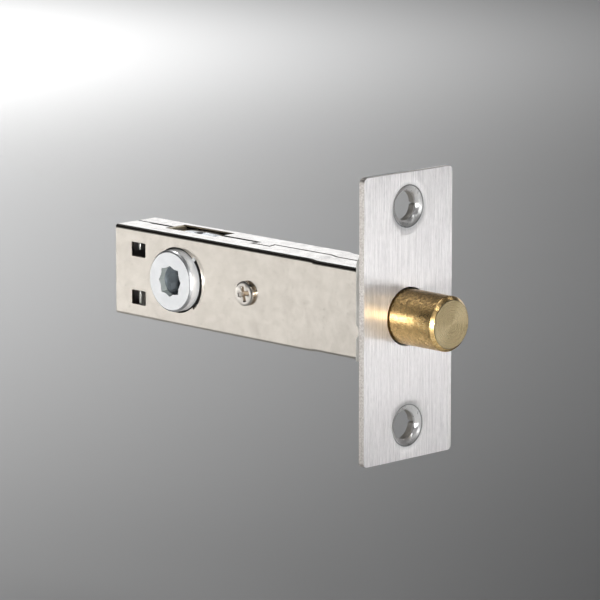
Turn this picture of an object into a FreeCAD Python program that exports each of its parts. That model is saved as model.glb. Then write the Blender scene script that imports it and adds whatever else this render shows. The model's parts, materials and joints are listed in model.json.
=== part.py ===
import FreeCAD, Part

import math
import os

import Sketcher

# Tubular privacy bolt with a 60 mm backset. Millimetres.
# X runs along the bolt and out of the door edge, Y across the door and Z up.
# The origin is on the bolt's axis, in the front face of the faceplate.
# The bolt is modelled thrown, which is the pose it rests in.

SIZES = {
    # Faceplate
    "face_height": 57.0,
    "face_width": 24.5,
    "face_thick": 1.35,
    "face_corner": 0.9,
    "face_edge_bevel": 0.22,
    "face_bolt_hole": 12.0,
    "screw_spacing": 43.6,
    "screw_hole": 5.9,
    "screw_sink": 8.2,
    "screw_sink_depth": 1.0,
    "screw_dish": 11.3,
    "screw_dish_depth": 0.12,
    # Inner forend, hidden behind the faceplate
    "inner_height": 55.0,
    "inner_width": 21.2,
    "inner_thick": 1.5,
    "inner_bolt_hole": 11.5,
    "inner_notch_depth": 0.8,
    "inner_notch_half": 1.28,
    # Gap left where two fixed pieces lie on each other
    "seat_gap": 0.02,
    # How far cuts run past a surface, and how deep added shapes are rooted in one
    "cut_past": 0.5,
    "root_depth": 0.2,
    # Collar behind the forend
    "collar_half_width": 6.25,
    "collar_half_height": 9.25,
    "collar_rear": 8.16,
    "collar_flange_half": 15.2,
    "collar_flange_thick": 1.5,
    "collar_flange_round": 3.0,
    "collar_bore_gap": 0.05,
    "collar_bore_step": 11.2,
    "fin_thick": 1.35,
    "fin_top": 12.6,
    "fin_round": 3.3,
    "tongue_bottom": 3.6,
    "tongue_rear": 19.0,
    "tongue_gap": 0.1,
    "tongue_round": 0.4,
    "lip_groove_floor": 7.6,
    "lip_gap": 0.1,
    "tab_behind": 0.88,
    "tab_height": 3.35,
    "tab_radius": 1.55,
    "tab_gap": 0.1,
    # Rivets that hold the collar to the inner forend
    "rivet_height": 12.4,
    "rivet_radius": 1.2,
    "rivet_head_radius": 2.0,
    "rivet_head_thick": 0.8,
    "rivet_gap": 0.03,
    # Case, two equal folded shells, one turned over
    "case_half_width": 5.78,
    "case_half_height": 9.35,
    "case_sheet": 0.7,
    "case_rear": 78.5,
    "case_front_gap": 0.14,
    "case_bend": 0.6,
    "case_front_drop": 0.22,
    "case_step": 20.0,
    "case_step_length": 1.6,
    "seam_long": 0.62,
    "seam_gap": 0.08,
    "lip_side": 4.6,
    "slot_rear": 67.8,
    "slot_front": 52.9,
    "slot_near": 1.8,
    "slot_far": 3.8,
    "jog_rear": 41.8,
    "jog_front": 38.1,
    "jog_reach": 1.25,
    "jog_flare": 0.45,
    "window_rear": 73.7,
    "window_front": 69.5,
    "window_low": 3.3,
    "window_high": 6.3,
    "window_deep_low": 3.7,
    "window_deep_high": 6.7,
    "window_round": 0.35,
    # Rear bracket inside the case
    "bracket_side_gap": 0.13,
    "bracket_height_gap": 0.05,
    "bracket_sheet": 0.5,
    "bracket_lug_centre": 71.7,
    "bracket_lug_short": 4.7,
    "bracket_lug_long": 3.2,
    "bracket_slot_gap": 0.35,
    "bracket_key_reach": 0.45,
    "bracket_key_gap": 0.1,
    # Screw and threaded post that clamp the shells
    "post_back": 38.9,
    "post_radius": 2.5,
    "post_spigot": 1.55,
    "screw_radius": 1.48,
    "screw_tip": 1.5,
    "screw_head_radius": 2.5,
    "screw_head_thick": 1.7,
    "screw_head_bevel": 0.32,
    "screw_turn": -13.5,
    "recess_reach": 1.75,
    "recess_half": 0.4,
    "recess_depth": 1.1,
    "thread_gap": 0.04,
    "shell_screw_hole": 1.6,
    # Bolt
    "bolt_radius": 5.5,
    "bolt_neck_radius": 5.3,
    "bolt_neck_length": 0.7,
    "bolt_shank_radius": 5.0,
    "bolt_reach": 11.7,
    "bolt_step": 0.1,
    "bolt_back": 17.0,
    "bolt_tip_bevel": 0.8,
    "bolt_rear_bevel": 0.3,
    "bolt_slot_front": 8.0,
    "pin_back": 12.5,
    "pin_height": 2.4,
    "pin_radius": 1.0,
    "pin_half_length": 3.6,
    "pin_gap": 0.02,
    # Tail plate
    "tail_thick": 2.0,
    "tail_slot_gap": 0.03,
    "tail_tongue_half": 4.2,
    "tail_shoulder": 19.8,
    "tail_shoulder_slope": 1.0,
    "tail_half_height": 7.6,
    "tail_rear": 66.6,
    "tail_window_rear": 64.8,
    "tail_window_front": 44.0,
    "tail_window_half": 4.9,
    "tail_jaw_depth": 8.3,
    "tail_jaw_half": 3.0,
    "tail_notch_half": 1.1,
    "tail_guide_gap": 0.25,
    "tail_guide_flat": 0.1,
    # Hub
    "hub_back": 60.0,
    "hub_flange_radius": 6.375,
    "hub_face": 7.83,
    "hub_bevel": 0.45,
    "hub_wall_gap": 0.13,
    "hub_hole_gap": 0.17,
    "cam_radius": 8.45,
    "cam_flat": 7.9,
    "cam_inner": 1.25,
    "barrel_radius": 4.5,
    "barrel_spigot": 2.7,
    "socket_gap": 0.03,
    "spindle": 5.0,
    "stop_radius": 7.15,
    "stop_from": 42.0,
    "stop_to": 48.0,
    "notch_radius": 7.4,
    "notch_angle": 48.5,
    "turn_half": 45.0,
    "crank_radius": 7.4,
    "crank_pin_radius": 0.8,
    "crank_pin_half": 4.85,
    # Detent spring on the hub's flats
    "leaf_thick": 0.5,
    "leaf_gap": 0.05,
    "leaf_near": 1.5,
    "leaf_far": 3.5,
    "leaf_under": 1.5,
    "leaf_bow": 0.15,
    "leaf_bend_inset": 3.0,
    "dimple_back": 60.4,
    "dimple_side": 1.0,
    "dimple_radius": 0.85,
    "dimple_height": 0.25,
    "dimple_bevel": 0.15,
}

doc = FreeCAD.newDocument("privacy_bolt")
sheet = doc.addObject("Spreadsheet::Sheet", "Sizes")
for row, (word, amount) in enumerate(SIZES.items(), 1):
    sheet.set("A%d" % row, word)
    sheet.set("B%d" % row, str(amount))
    sheet.setAlias("B%d" % row, word)
doc.recompute()


class Size:
    """A length or angle with the sheet formula that gives it."""

    def __init__(self, number, formula):
        self.number = number
        self.formula = formula

    def join(self, sign, other, number):
        return Size(number, "(" + self.formula + " " + sign + " " + other.formula + ")")

    def __add__(self, other):
        other = as_size(other)
        return self.join("+", other, self.number + other.number)

    def __sub__(self, other):
        other = as_size(other)
        return self.join("-", other, self.number - other.number)

    def __mul__(self, other):
        other = as_size(other)
        return self.join("*", other, self.number * other.number)

    def __truediv__(self, other):
        other = as_size(other)
        return self.join("/", other, self.number / other.number)

    def __neg__(self):
        return Size(-self.number, "(-1 * " + self.formula + ")")


def as_size(value):
    if isinstance(value, Size):
        return value
    return Size(float(value), "(%.9g)" % value)


def cell(word):
    return Size(SIZES[word], "Sizes." + word)


def cosine(angle):
    return Size(math.cos(math.radians(angle.number)), "cos(" + angle.formula + " * 1 deg)")


def sine(angle):
    return Size(math.sin(math.radians(angle.number)), "sin(" + angle.formula + " * 1 deg)")


ZERO = as_size(0)


def bind(item, prop, size):
    """Give a property its number from the sheet."""
    item.setExpression(prop, as_size(size).formula)


# Drawing helpers

def new_body(label, x=ZERO, y=ZERO, z=ZERO):
    body = doc.addObject("PartDesign::Body", label)
    body.Label = label
    bind(body, "Placement.Base.x", x)
    bind(body, "Placement.Base.y", y)
    bind(body, "Placement.Base.z", z)
    return body


def datum(body, role):
    for item in body.Origin.OriginFeatures:
        if item.Role == role:
            return item
    raise ValueError(role)


def new_sketch(body, name, plane, start, shift=(ZERO, ZERO)):
    """A sketch across the body at the global height START on its plane's axis."""
    sketch = body.newObject("Sketcher::SketchObject", name)
    sketch.AttachmentSupport = [(datum(body, plane + "_Plane"), "")]
    sketch.MapMode = "FlatFace"
    along = -start if plane == "XZ" else start
    bind(sketch, "AttachmentOffset.Base.z", along)
    bind(sketch, "AttachmentOffset.Base.x", shift[0])
    bind(sketch, "AttachmentOffset.Base.y", shift[1])
    return sketch


def fix(sketch, geometry, point, u, v):
    """Hold one point of a sketch at U, V."""
    for kind, size in (("DistanceX", u), ("DistanceY", v)):
        if size is None:
            continue
        rule = Sketcher.Constraint(kind, -1, 1, geometry, point, size.number)
        number = sketch.addConstraint(rule)
        sketch.setExpression("Constraints[%d]" % number, size.formula)


def draw_circle(sketch, u, v, radius):
    middle = FreeCAD.Vector(u.number, v.number, 0)
    ring = sketch.addGeometry(Part.Circle(middle, FreeCAD.Vector(0, 0, 1), radius.number), False)
    fix(sketch, ring, 3, u, v)
    number = sketch.addConstraint(Sketcher.Constraint("Radius", ring, radius.number))
    sketch.setExpression("Constraints[%d]" % number, radius.formula)


def toward(start, end):
    """The unit step from START to END, along U or along V."""
    steps = [end[axis].number - start[axis].number for axis in (0, 1)]
    return [0 if abs(step) < 1e-6 else math.copysign(1, step) for step in steps]


def draw_polygon(sketch, corners):
    """Straight sides; a square corner with a third entry is rounded to that radius."""
    corners = [[as_size(value) for value in corner] for corner in corners]
    pieces = []
    for number, corner in enumerate(corners):
        if len(corner) == 2:
            pieces.append([corner])
            continue
        u, v, radius = corner
        back = toward(corner, corners[number - 1])
        ahead = toward(corner, corners[(number + 1) % len(corners)])
        first = (u + radius * back[0], v + radius * back[1])
        last = (u + radius * ahead[0], v + radius * ahead[1])
        middle = (u + radius * (back[0] + ahead[0]), v + radius * (back[1] + ahead[1]))
        left_turn = back[1] * ahead[0] - back[0] * ahead[1] > 0
        pieces.append([first, last, middle, radius, left_turn])
    joints = []
    for number, piece in enumerate(pieces):
        if len(piece) > 1:
            first, last, middle, radius, left_turn = piece
            points = [FreeCAD.Vector(u.number, v.number, 0) for u, v in (first, last, middle)]
            angles = [math.atan2(spot.y - points[2].y, spot.x - points[2].x) for spot in points[:2]]
            if not left_turn:
                angles.reverse()
            circle = Part.Circle(points[2], FreeCAD.Vector(0, 0, 1), radius.number)
            arc = sketch.addGeometry(Part.ArcOfCircle(circle, *angles), False)
            rule = sketch.addConstraint(Sketcher.Constraint("Radius", arc, radius.number))
            sketch.setExpression("Constraints[%d]" % rule, radius.formula)
            ends = (1, 2) if left_turn else (2, 1)
            joints.append((arc, ends[0], ends[1], first))
        start = piece[min(1, len(piece) - 1)]
        end = pieces[(number + 1) % len(pieces)][0]
        spots = [FreeCAD.Vector(spot[0].number, spot[1].number, 0) for spot in (start, end)]
        line = sketch.addGeometry(Part.LineSegment(*spots), False)
        joints.append((line, 1, 2, start))
    for number, (item, first, last, place) in enumerate(joints):
        after = joints[(number + 1) % len(joints)]
        sketch.addConstraint(Sketcher.Constraint("Coincident", item, last, after[0], after[1]))
    for item, first, last, place in joints:
        fix(sketch, item, first, place[0], place[1])


def draw_sector(sketch, u, v, radius, angle):
    """A slice of a disc that opens toward +U, ANGLE to each side."""
    middle = FreeCAD.Vector(u.number, v.number, 0)
    turn = math.radians(angle.number)
    circle = Part.Circle(middle, FreeCAD.Vector(0, 0, 1), radius.number)
    arc = sketch.addGeometry(Part.ArcOfCircle(circle, -turn, turn), False)
    low = FreeCAD.Vector(math.cos(turn), -math.sin(turn), 0) * radius.number + middle
    high = FreeCAD.Vector(math.cos(turn), math.sin(turn), 0) * radius.number + middle
    first = sketch.addGeometry(Part.LineSegment(middle, low), False)
    second = sketch.addGeometry(Part.LineSegment(high, middle), False)
    sketch.addConstraint(Sketcher.Constraint("Coincident", first, 2, arc, 1))
    sketch.addConstraint(Sketcher.Constraint("Coincident", arc, 2, second, 1))
    sketch.addConstraint(Sketcher.Constraint("Coincident", second, 2, first, 1))
    sketch.addConstraint(Sketcher.Constraint("Coincident", arc, 3, first, 1))
    fix(sketch, arc, 3, u, v)
    number = sketch.addConstraint(Sketcher.Constraint("Radius", arc, radius.number))
    sketch.setExpression("Constraints[%d]" % number, radius.formula)
    fix(sketch, arc, 1, None, v - radius * sine(angle))
    fix(sketch, arc, 2, None, v + radius * sine(angle))


def draw(sketch, loops):
    for loop in loops:
        if loop[0] == "circle":
            draw_circle(sketch, as_size(loop[1]), as_size(loop[2]), as_size(loop[3]))
        elif loop[0] == "sector":
            draw_sector(sketch, as_size(loop[1]), as_size(loop[2]), as_size(loop[3]), loop[4])
        else:
            draw_polygon(sketch, loop)


def prism(body, name, plane, low, high, loops, cut=False):
    """Add or cut the loops' area from LOW to HIGH on the axis across the plane."""
    low = as_size(low)
    high = as_size(high)
    start = high if plane == "XZ" else low
    sketch = new_sketch(body, name + "_sketch", plane, start)
    draw(sketch, loops)
    feature = body.newObject("PartDesign::Pocket" if cut else "PartDesign::Pad", name)
    feature.Profile = sketch
    feature.Type = "Length"
    bind(feature, "Length", high - low)
    feature.Reversed = cut
    doc.recompute()
    return feature


def turned(body, name, plane, loops, cut=False, axis="H_Axis", shift=(ZERO, ZERO)):
    """Turn the loops' area about an axis of their sketch."""
    sketch = new_sketch(body, name + "_sketch", plane, ZERO, shift)
    draw(sketch, loops)
    feature = body.newObject("PartDesign::Groove" if cut else "PartDesign::Revolution", name)
    feature.Profile = sketch
    feature.ReferenceAxis = (sketch, [axis])
    feature.Angle = 360
    doc.recompute()
    return feature


def dress(body, kind, name, size, spots):
    """Round or bevel the edges that pass nearest to the given spots."""
    base = body.Tip
    names = []
    for spot in spots:
        place = [as_size(value).number for value in spot]
        probe = Part.Vertex(*place)
        gaps = [probe.distToShape(edge)[0] for edge in base.Shape.Edges]
        best = "Edge%d" % (gaps.index(min(gaps)) + 1)
        if best not in names:
            names.append(best)
    feature = body.newObject("PartDesign::" + kind, name)
    feature.Base = (base, names)
    bind(feature, "Radius" if kind == "Fillet" else "Size", size)
    doc.recompute()
    return feature


def box_loop(u0, u1, v0, v1):
    return [(u0, v0), (u1, v0), (u1, v1), (u0, v1)]


def rod(name, radius, length, x, y, z, along):
    """A round bar that starts at X, Y, Z and runs toward +X or +Y."""
    item = doc.addObject("Part::Cylinder", name)
    bind(item, "Radius", radius)
    bind(item, "Height", length)
    bind(item, "Placement.Base.x", x)
    bind(item, "Placement.Base.y", y)
    bind(item, "Placement.Base.z", z)
    if along == "X":
        item.Placement.Rotation = FreeCAD.Rotation(FreeCAD.Vector(0, 1, 0), 90)
    else:
        item.Placement.Rotation = FreeCAD.Rotation(FreeCAD.Vector(1, 0, 0), -90)
    return item


def star(points_radius, waist_radius):
    """The outline of two equal squares, one turned by 45 degrees on the other."""
    corners = []
    for number in range(8):
        tip = eighth_turn * number
        waist = tip + eighth_turn / 2
        corners.append((points_radius * cosine(tip), points_radius * sine(tip)))
        corners.append((waist_radius * cosine(waist), waist_radius * sine(waist)))
    return corners


# Shared places

past = cell("cut_past")
root_depth = cell("root_depth")
eighth_turn = as_size(45)

face_half_height = cell("face_height") / 2
face_half_width = cell("face_width") / 2
face_back = -cell("face_thick")
inner_front = face_back - cell("seat_gap")
inner_back = inner_front - cell("inner_thick")
screw_height = cell("screw_spacing") / 2
screw_hole_radius = cell("screw_hole") / 2

flange_front = inner_back - cell("seat_gap")
flange_back = flange_front - cell("collar_flange_thick")
collar_back = -cell("collar_rear")
collar_bore = cell("bolt_radius") + cell("collar_bore_gap")
shank_bore = cell("bolt_shank_radius") + cell("collar_bore_gap")

shell_side = cell("case_half_width")
shell_inside = cell("case_half_width") - cell("case_sheet")
shell_top = cell("case_half_height")
shell_under = cell("case_half_height") - cell("case_sheet")
front_top = shell_top - cell("case_front_drop")
front_under = shell_under - cell("case_front_drop")
shell_front = collar_back - cell("case_front_gap")
shell_rear = -cell("case_rear")
shell_step = -cell("case_step")
lip_rear = shell_front - cell("case_sheet")
tab_x = collar_back - cell("tab_behind")
tab_z = -cell("tab_height")

post_x = -cell("post_back")
hub_x = -cell("hub_back")
hub_hole = cell("hub_flange_radius") + cell("hub_hole_gap")
tail_half = cell("tail_thick") / 2

crank_x = hub_x + cell("crank_radius") * cosine(cell("turn_half"))
crank_z = -(cell("crank_radius") * sine(cell("turn_half")))
throw = cell("crank_radius") * sine(cell("turn_half")) * 2


# Faceplate

faceplate = new_body("faceplate")
prism(faceplate, "plate", "YZ", face_back, ZERO,
      [box_loop(-face_half_width, face_half_width, -face_half_height, face_half_height)])
dress(faceplate, "Fillet", "plate_corners", cell("face_corner"),
      [(face_back / 2, side * face_half_width.number, level * face_half_height.number)
       for side in (-1, 1) for level in (-1, 1)])
dress(faceplate, "Chamfer", "plate_front_edge", cell("face_edge_bevel"),
      [(ZERO, side * face_half_width.number, ZERO) for side in (-1, 1)])
prism(faceplate, "bolt_opening", "YZ", face_back - past, past,
      [("circle", ZERO, ZERO, cell("face_bolt_hole") / 2)], cut=True)
for side, label in ((1, "upper"), (-1, "lower")):
    dish = cell("screw_dish") / 2
    sink = cell("screw_sink") / 2
    profile = [(past, ZERO), (past, dish), (ZERO, dish), (-cell("screw_dish_depth"), sink),
               (-cell("screw_sink_depth"), screw_hole_radius),
               (face_back - past, screw_hole_radius), (face_back - past, ZERO)]
    turned(faceplate, label + "_screw_hole", "XZ", [profile], cut=True,
           shift=(ZERO, screw_height * side))


# Inner forend with notched screw holes

inner_forend = new_body("inner_forend")
inner_half_height = cell("inner_height") / 2
inner_half_width = cell("inner_width") / 2
prism(inner_forend, "plate", "YZ", inner_back, inner_front,
      [box_loop(-inner_half_width, inner_half_width, -inner_half_height, inner_half_height)])
dress(inner_forend, "Fillet", "plate_corners", cell("face_corner"),
      [(inner_front, side * inner_half_width.number, level * inner_half_height.number)
       for side in (-1, 1) for level in (-1, 1)])
openings = [("circle", ZERO, ZERO, cell("inner_bolt_hole") / 2)]
for side in (1, -1):
    openings.append(("circle", ZERO, screw_height * side, screw_hole_radius))
    openings.append(("circle", ZERO, cell("rivet_height") * side,
                     cell("rivet_radius") + cell("rivet_gap")))
prism(inner_forend, "openings", "YZ", inner_back - past, inner_front + past, openings, cut=True)
notch_tip = screw_hole_radius + cell("inner_notch_depth")
notch_half = cell("inner_notch_half")
for side, label in ((1, "upper"), (-1, "lower")):
    level = screw_height * side
    diamond = [(-notch_tip, level), (ZERO, level - notch_half),
               (notch_tip, level), (ZERO, level + notch_half)]
    prism(inner_forend, label + "_notches", "YZ", inner_back - past, inner_front + past,
          [diamond], cut=True)


# Collar that guides the bolt and carries the case

collar = new_body("forend_collar")
collar_side = cell("collar_half_width")
collar_top = cell("collar_half_height")
tongue_side = shell_inside - cell("tongue_gap")
tongue_top = front_under - cell("tongue_gap")
prism(collar, "flange", "YZ", flange_back, flange_front,
      [box_loop(-collar_side, collar_side, -cell("collar_flange_half"), cell("collar_flange_half"))])
dress(collar, "Fillet", "flange_corners", cell("collar_flange_round"),
      [(flange_back, side * collar_side.number, level * SIZES["collar_flange_half"])
       for side in (-1, 1) for level in (-1, 1)])
prism(collar, "block", "YZ", collar_back, flange_back,
      [box_loop(-collar_side, collar_side, -collar_top, collar_top)])
for side, label in ((1, "near"), (-1, "far")):
    outer = -collar_side * side
    inner = outer + cell("fin_thick") * side
    low, high = (outer, inner) if side == 1 else (inner, outer)
    prism(collar, label + "_fin", "XZ", low, high,
          [[(flange_back, collar_top * side), (collar_back, collar_top * side),
            (collar_back, cell("fin_top") * side), (flange_back, cell("fin_top") * side)]])
    dress(collar, "Fillet", label + "_fin_round", cell("fin_round"),
          [(collar_back, (outer + inner) / 2, cell("fin_top") * side)])
for side, label in ((1, "upper"), (-1, "lower")):
    near = cell("tongue_bottom") * side
    groove = cell("lip_groove_floor") * side
    crest = tongue_top * side
    prism(collar, label + "_neck", "YZ", lip_rear - cell("lip_gap"), collar_back,
          [box_loop(-tongue_side, tongue_side, near, groove)])
    prism(collar, label + "_tongue", "YZ", -cell("tongue_rear"), lip_rear - cell("lip_gap"),
          [box_loop(-tongue_side, tongue_side, near, crest)])
    dress(collar, "Fillet", label + "_tongue_rounds", cell("tongue_round"),
          [(-cell("tongue_rear") + past, tongue_side * turn, crest) for turn in (-1, 1)])
prism(collar, "bore", "YZ", -cell("collar_bore_step"), flange_front + past,
      [("circle", ZERO, ZERO, collar_bore)], cut=True)
prism(collar, "shank_bore", "YZ", -cell("tongue_rear") - past, -cell("collar_bore_step") + past,
      [("circle", ZERO, ZERO, shank_bore)], cut=True)
notch = cell("tab_radius") + cell("tab_gap")
prism(collar, "near_tab_notch", "XZ", -collar_side - past, -shell_inside + cell("tab_gap"),
      [("circle", tab_x, tab_z, notch)], cut=True)
prism(collar, "far_tab_notch", "XZ", shell_inside - cell("tab_gap"), collar_side + past,
      [("circle", tab_x, -tab_z, notch)], cut=True)
prism(collar, "rivet_holes", "YZ", flange_back - past, flange_front + past,
      [("circle", ZERO, cell("rivet_height") * side, cell("rivet_radius") + cell("rivet_gap"))
       for side in (1, -1)], cut=True)


# Rivets through the inner forend and the collar's flange

rivets = []
for side, label in ((1, "upper"), (-1, "lower")):
    head_front = flange_back - cell("seat_gap")
    shank = rod(label + "_rivet_shank", cell("rivet_radius"), inner_front - head_front,
                head_front, ZERO, cell("rivet_height") * side, "X")
    head = rod(label + "_rivet_head", cell("rivet_head_radius"), cell("rivet_head_thick"),
               head_front - cell("rivet_head_thick"), ZERO, cell("rivet_height") * side, "X")
    rivet = doc.addObject("Part::Fuse", label + "_rivet")
    rivet.Base = shank
    rivet.Tool = head
    rivets.append(rivet)
forend_rivets = doc.addObject("Part::Compound", "forend_rivets")
forend_rivets.Label = "forend_rivets"
forend_rivets.Links = rivets
doc.recompute()


# Case shells, one stamping used twice

def channel(seam_top, seam_bottom, top, under):
    """The folded sheet's section, open toward +Y."""
    bend = cell("case_bend")
    return [(-shell_side, -top, bend), (seam_bottom, -top), (seam_bottom, -under),
            (-shell_inside, -under), (-shell_inside, under), (seam_top, under),
            (seam_top, top), (-shell_side, top, bend)]


def dovetail(gap, end):
    """The tab that ties the seam, GAP larger all round, from END on the other shell's side."""
    reach = cell("jog_reach") + gap
    flare = cell("jog_flare")
    rear = -cell("jog_rear") - gap
    front = -cell("jog_front") + gap
    return [(rear, end), (front, end), (front + flare, reach), (rear - flare, reach)]


def make_shell(label):
    shell = new_body(label)
    seam_top = cell("seam_long")
    seam_bottom = -(cell("seam_long") + cell("seam_gap"))
    rear_section = channel(seam_top, seam_bottom, shell_top, shell_under)
    front_section = channel(seam_top, seam_bottom, front_top, front_under)
    step_rear = shell_step - cell("case_step_length")
    prism(shell, "front", "YZ", shell_step, shell_front, [front_section])
    step_sketch = new_sketch(shell, "step_front_sketch", "YZ", shell_step)
    draw(step_sketch, [front_section])
    step_end = new_sketch(shell, "step_rear_sketch", "YZ", step_rear)
    draw(step_end, [rear_section])
    step = shell.newObject("PartDesign::AdditiveLoft", "step")
    step.Profile = step_sketch
    step.Sections = [step_end]
    step.Ruled = True
    doc.recompute()
    prism(shell, "rear", "YZ", shell_rear, step_rear, [rear_section])
    lip_low = cell("lip_groove_floor") + cell("lip_gap")
    prism(shell, "upper_lip", "YZ", lip_rear, shell_front,
          [box_loop(-cell("lip_side"), seam_top, lip_low, front_under + cell("case_sheet") / 2)])
    prism(shell, "lower_lip", "YZ", lip_rear, shell_front,
          [box_loop(-cell("lip_side"), seam_bottom, -lip_low,
                    -(front_under + cell("case_sheet") / 2))])
    prism(shell, "front_tab", "XZ", -shell_side, -shell_inside,
          [("circle", tab_x, tab_z, cell("tab_radius"))])
    prism(shell, "bolt_run", "YZ", -cell("collar_bore_step"), shell_front + cell("tab_radius"),
          [("circle", ZERO, ZERO, collar_bore)], cut=True)
    prism(shell, "hub_hole", "XZ", -shell_side - past, -shell_inside + past,
          [("circle", hub_x, ZERO, hub_hole)], cut=True)
    prism(shell, "stop_notch", "XZ", -shell_side - past, -shell_inside + past,
          [("sector", hub_x, ZERO, cell("notch_radius"), cell("notch_angle"))], cut=True)
    prism(shell, "screw_hole", "XZ", -shell_side - past, -shell_inside + past,
          [("circle", post_x, ZERO, cell("shell_screw_hole"))], cut=True)
    rear_edge = -cell("window_rear")
    front_edge = -cell("window_front")
    windows = [(cell("window_low"), cell("window_high")),
               (-cell("window_deep_high"), -cell("window_deep_low"))]
    prism(shell, "windows", "XZ", -shell_side - past, -shell_inside + past,
          [box_loop(rear_edge, front_edge, low, high) for low, high in windows], cut=True)
    wall = (-shell_side - shell_inside) / 2
    dress(shell, "Fillet", "window_corners", cell("window_round"),
          [(edge, wall, level) for edge in (rear_edge, front_edge)
           for low, high in windows for level in (low, high)])
    prism(shell, "spring_slot", "XY", shell_under - past, shell_top + past,
          [box_loop(-cell("slot_rear"), -cell("slot_front"), -cell("slot_near"),
                    seam_top + past)], cut=True)
    prism(shell, "under_slot", "XY", -shell_top - past, -shell_under + past,
          [box_loop(-cell("slot_rear"), -cell("slot_front"), -cell("slot_far"), ZERO)],
          cut=True)
    recess = [(u, -v) for u, v in dovetail(cell("seam_gap"), -seam_top - root_depth)]
    prism(shell, "seam_recess", "XY", shell_under - past, shell_top + past, [recess], cut=True)
    prism(shell, "seam_tab", "XY", -shell_top, -shell_under, [dovetail(ZERO, seam_bottom)])
    return shell


near_shell = make_shell("case_near_shell")
far_shell = make_shell("case_far_shell")
far_shell.Placement.Rotation = FreeCAD.Rotation(FreeCAD.Vector(1, 0, 0), 180)


# Rear bracket, forked so that the tail can pass between its legs

bracket = new_body("end_bracket")
bracket_side = shell_inside - cell("bracket_side_gap")
bracket_top = shell_under - cell("bracket_height_gap")
bracket_floor = bracket_top - cell("bracket_sheet")
bracket_back = shell_rear + cell("bracket_key_gap")
bracket_inner = bracket_back + cell("bracket_sheet")
fork = tail_half + cell("bracket_slot_gap")
lug_front = -cell("bracket_lug_centre") + cell("bracket_sheet") / 2
lug_back = -cell("bracket_lug_centre") - cell("bracket_sheet") / 2
key_side = bracket_side + cell("bracket_key_reach")
prism(bracket, "rear_wall", "YZ", bracket_back, bracket_inner,
      [box_loop(-bracket_side, bracket_side, -bracket_top, bracket_top)])


def leg(end, side):
    """One leg and its bent lug, seen from the side; SIDE is up (1) or down (-1)."""
    return [(bracket_inner, bracket_floor * side), (lug_back, bracket_floor * side),
            (lug_back, end * side), (lug_front, end * side),
            (lug_front, bracket_top * side), (bracket_inner, bracket_top * side)]


short = cell("bracket_lug_short")
long = cell("bracket_lug_long")
prism(bracket, "near_legs", "XZ", -bracket_side, -fork, [leg(short, 1), leg(long, -1)])
prism(bracket, "far_legs", "XZ", fork, bracket_side, [leg(long, 1), leg(short, -1)])
key_gap = cell("bracket_key_gap")
for side, label in ((1, "near"), (-1, "far")):
    edges = sorted((-key_side * side, (root_depth - bracket_side) * side),
                   key=lambda size: size.number)
    short_key = sorted((short * side, (cell("window_high") - key_gap) * side),
                       key=lambda size: size.number)
    long_key = sorted(((cell("window_deep_low") + key_gap) * -side,
                       (cell("window_deep_high") - key_gap) * -side),
                      key=lambda size: size.number)
    prism(bracket, label + "_keys", "XZ", edges[0], edges[1],
          [box_loop(lug_back, lug_front, short_key[0], short_key[1]),
           box_loop(lug_back, lug_front, long_key[0], long_key[1])])


# Screw through the near shell into the threaded post

screw = new_body("case_screw", post_x, ZERO, ZERO)
head_seat = -shell_side - cell("seat_gap")
head_top = head_seat - cell("screw_head_thick")
turned(screw, "shank_and_head", "XY",
       [[(ZERO, head_top), (cell("screw_head_radius"), head_top),
         (cell("screw_head_radius"), head_seat), (cell("screw_radius"), head_seat),
         (cell("screw_radius"), cell("screw_tip")), (ZERO, cell("screw_tip"))]], axis="V_Axis")
dress(screw, "Chamfer", "head_bevel", cell("screw_head_bevel"),
      [(ZERO, head_top, cell("screw_head_radius"))])
reach = cell("recess_reach")
half = cell("recess_half")
cross = [(-reach, -half), (-half, -half), (-half, -reach), (half, -reach), (half, -half),
         (reach, -half), (reach, half), (half, half), (half, reach), (-half, reach),
         (-half, half), (-reach, half)]
prism(screw, "cross_recess", "XZ", head_top - past, head_top + cell("recess_depth"),
      [cross], cut=True)
screw.Placement.Rotation = FreeCAD.Rotation(FreeCAD.Vector(0, 1, 0), SIZES["screw_turn"])

post = new_body("screw_post", post_x, ZERO, ZERO)
post_end = shell_inside - cell("seat_gap")
bore = cell("screw_radius") + cell("thread_gap")
bore_end = cell("screw_tip") + past
turned(post, "sleeve", "XY",
       [[(bore, -post_end), (cell("post_radius"), -post_end), (cell("post_radius"), post_end),
         (cell("post_spigot"), post_end), (cell("post_spigot"), shell_side), (ZERO, shell_side),
         (ZERO, bore_end), (bore, bore_end)]], axis="V_Axis")


# Bolt

bolt = new_body("bolt_bar")
bolt_radius = cell("bolt_radius")
neck_radius = cell("bolt_neck_radius")
neck_rear = cell("bolt_step") - cell("bolt_neck_length")
shank_radius = cell("bolt_shank_radius")
turned(bolt, "bar", "XY",
       [[(-cell("bolt_back"), ZERO), (cell("bolt_reach"), ZERO), (cell("bolt_reach"), bolt_radius),
         (cell("bolt_step"), bolt_radius), (cell("bolt_step"), neck_radius), (neck_rear, neck_radius),
         (neck_rear, shank_radius),
         (-cell("bolt_back"), shank_radius)]])
dress(bolt, "Chamfer", "tip_bevel", cell("bolt_tip_bevel"),
      [(cell("bolt_reach"), ZERO, bolt_radius)])
dress(bolt, "Chamfer", "rear_bevel", cell("bolt_rear_bevel"),
      [(-cell("bolt_back"), ZERO, shank_radius)])
slot_half = tail_half + cell("tail_slot_gap")
prism(bolt, "tail_slot", "XY", -bolt_radius - past, bolt_radius + past,
      [box_loop(-cell("bolt_back") - past, -cell("bolt_slot_front"), -slot_half, slot_half)],
      cut=True)
pin_hole = cell("pin_radius") + cell("pin_gap")
pin_loops = [("circle", -cell("pin_back"), cell("pin_height") * side, pin_hole) for side in (1, -1)]
prism(bolt, "pin_holes", "XZ", -bolt_radius - past, bolt_radius + past, pin_loops, cut=True)


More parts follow.
